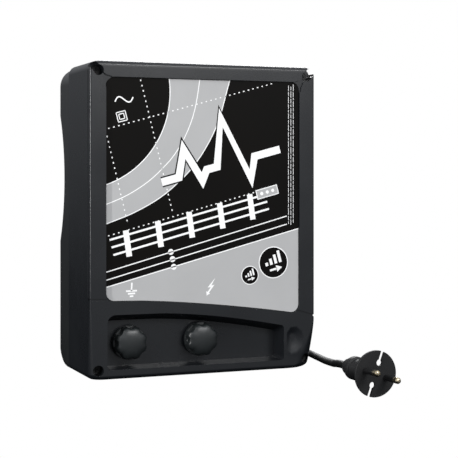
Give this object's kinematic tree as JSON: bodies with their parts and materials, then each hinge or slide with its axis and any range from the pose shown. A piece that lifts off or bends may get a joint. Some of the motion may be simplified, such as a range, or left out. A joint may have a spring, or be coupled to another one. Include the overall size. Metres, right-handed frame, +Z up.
{
  "type": "fence energizer",
  "caption": "Upright mains fence energizer: moulded housing with a terminal tray, screw-down knobs, inner electronics and a mains cord with a contour plug.",
  "frame": {"origin": "middle of the housing's footprint, on the surface it stands on, without the free cord", "axes": "+X to the right as the front is faced, front towards -Y, wall face towards +Y, +Z up"},
  "size_m": [0.2486, 0.3829, 0.265],
  "materials": {
    "housing": "fine moulded texture, satin",
    "rear_housing": "fine moulded texture, satin",
    "seal_rubber": "matt",
    "label": "printed film, satin",
    "black_screw": "black oxide, oiled",
    "zinc_steel": "zinc plated",
    "knob": "moulded, matt",
    "brass": "turned",
    "board": "solder mask",
    "film_case": "smooth",
    "lamination": "varnished stack",
    "bobbin": "moulded",
    "copper": "enamelled wire",
    "chip": "moulded epoxy",
    "sink": "extruded",
    "fuse_glass": "clear",
    "ceramic": "coated",
    "can_sleeve": "shrink sleeve",
    "varistor_coat": "dipped",
    "green_plastic": "moulded",
    "lead_green": "insulation",
    "lead_red": "insulation",
    "lead_brown": "insulation",
    "lead_blue": "insulation",
    "cord_sheath": "smooth sheath",
    "cord_rubber": "moulded",
    "tie": "hook and loop",
    "pin_metal": "nickel plated",
    "pin_sleeve": "moulded"
  },
  "bodies": {
    "housing": {"rear_shell": "rear_housing", "front_cover": "housing", "housing_seal": "seal_rubber", "face_label": "label", "cover_screws": "black_screw", "earth_stud": "zinc_steel", "earth_lock_nut": "zinc_steel", "earth_lug": "brass", "fence_stud": "zinc_steel", "fence_lock_nut": "zinc_steel", "fence_lug": "brass", "circuit_board": "board", "board_screws": "zinc_steel", "storage_capacitors": "film_case", "transformer_core": "lamination", "transformer_bobbin": "bobbin", "transformer_winding": "copper", "transformer_strap": "zinc_steel", "strap_screws": "zinc_steel", "thyristor": "chip", "heat_sink": "sink", "fuse_clips": "brass", "fuse": "fuse_glass", "power_resistors": "ceramic", "rectifier_diodes": "chip", "control_chip": "chip", "filter_capacitor": "can_sleeve", "varistor": "varistor_coat", "terminal_block": "green_plastic", "earth_lead": "lead_green", "fence_lead": "lead_red", "live_lead": "lead_brown", "neutral_lead": "lead_blue", "cord_gland": "bobbin", "gland_nut": "bobbin", "strain_relief": "cord_rubber", "mains_cord_in": "cord_sheath", "cord_coil": "cord_sheath", "cord_tie": "tie", "mains_cord_out": "cord_sheath", "plug_body": "cord_rubber", "plug_pins": "pin_metal", "plug_pin_sleeves": "pin_sleeve"},
    "earth_clamp": {"earth_clamp_washer": "zinc_steel"},
    "earth_grip": {"earth_knob": "knob", "earth_knob_insert": "brass"},
    "fence_clamp": {"fence_clamp_washer": "zinc_steel"},
    "fence_grip": {"fence_knob": "knob", "fence_knob_insert": "brass"}
  },
  "joints": [
    {"name": "earth_clamp_travel", "type": "slide", "parent": "housing", "child": "earth_clamp", "axis": [0, -1, 0], "range_m": [0, 0.0051]},
    {"name": "earth_knob_turn", "type": "hinge", "parent": "earth_clamp", "child": "earth_grip", "pos_m": [-0.0648, -0.04, 0.0287], "axis": [0, -1, 0], "range_deg": [0, 1440]},
    {"name": "fence_clamp_travel", "type": "slide", "parent": "housing", "child": "fence_clamp", "axis": [0, -1, 0], "range_m": [0, 0.0051]},
    {"name": "fence_knob_turn", "type": "hinge", "parent": "fence_clamp", "child": "fence_grip", "pos_m": [-0.0008, -0.04, 0.0287], "axis": [0, -1, 0], "range_deg": [0, 1440]}
  ],
  "couplings": [
    {"joint": "earth_clamp_travel", "follows": "earth_knob_turn", "m_per_rad": 0.00019894},
    {"joint": "fence_clamp_travel", "follows": "fence_knob_turn", "m_per_rad": 0.00019894}
  ]
}
